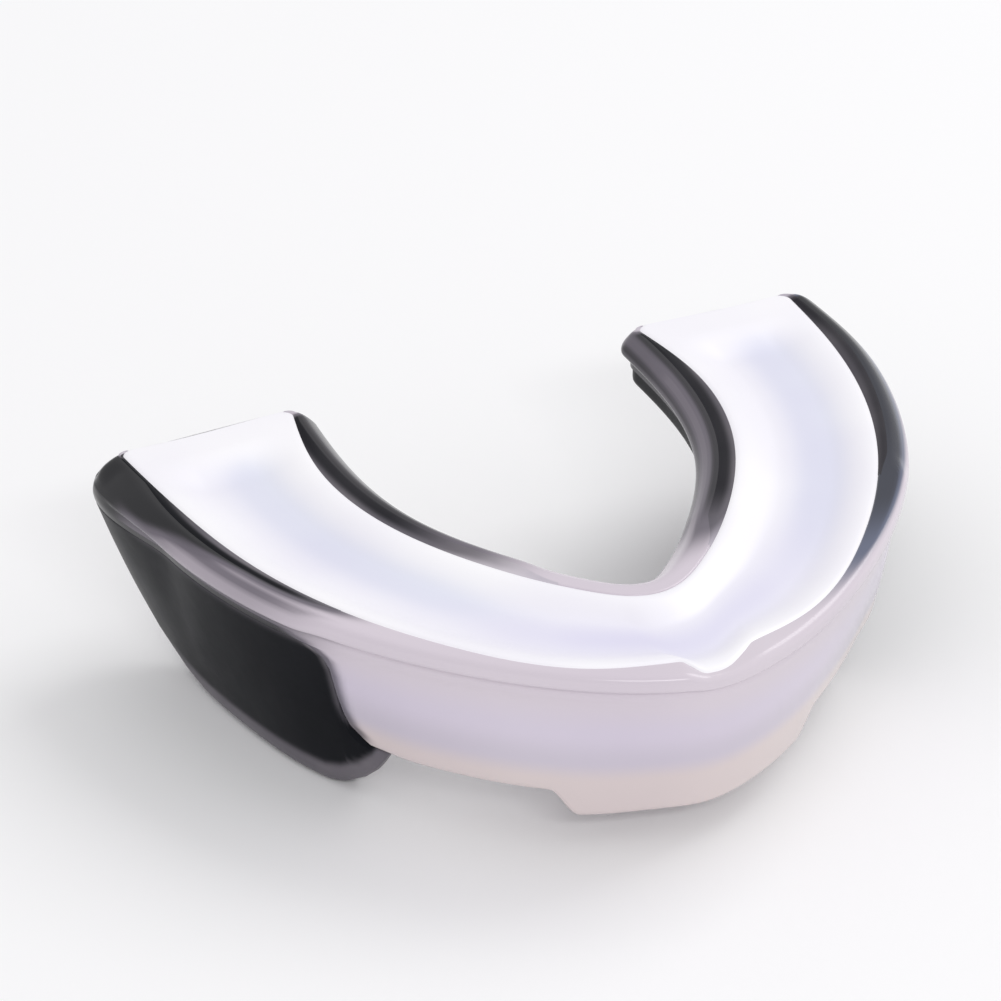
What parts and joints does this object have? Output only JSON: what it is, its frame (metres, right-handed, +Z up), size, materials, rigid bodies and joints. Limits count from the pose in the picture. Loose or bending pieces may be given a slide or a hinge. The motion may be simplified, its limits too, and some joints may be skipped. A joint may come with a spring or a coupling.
{
  "type": "mouthguard",
  "caption": "Two-tone arch-shaped boil-and-bite mouthguard with a dished bite pad, clear rim beads, a front wall with a low tab and dark side shells whose feet it rests on.",
  "frame": {"origin": "middle of the guard's box in plan, on the surface that it rests on", "axes": "+X across the arch, +Y towards the open rear ends, +Z up, with the bite side on top"},
  "size_m": [0.065, 0.049, 0.018],
  "materials": {
    "milky_gel": "milky translucent soft EVA, moulded gloss",
    "white_pad": "white soft EVA, satin to gloss",
    "dark_shell": "charcoal black soft EVA, satin",
    "soft_liner": "matte soft heat-fitted gel"
  },
  "bodies": {
    "root": {"outer_tray": "milky_gel", "bite_pad": "white_pad", "left_flank": "dark_shell", "right_flank": "dark_shell", "fit_liner": "soft_liner"}
  },
  "joints": []
}
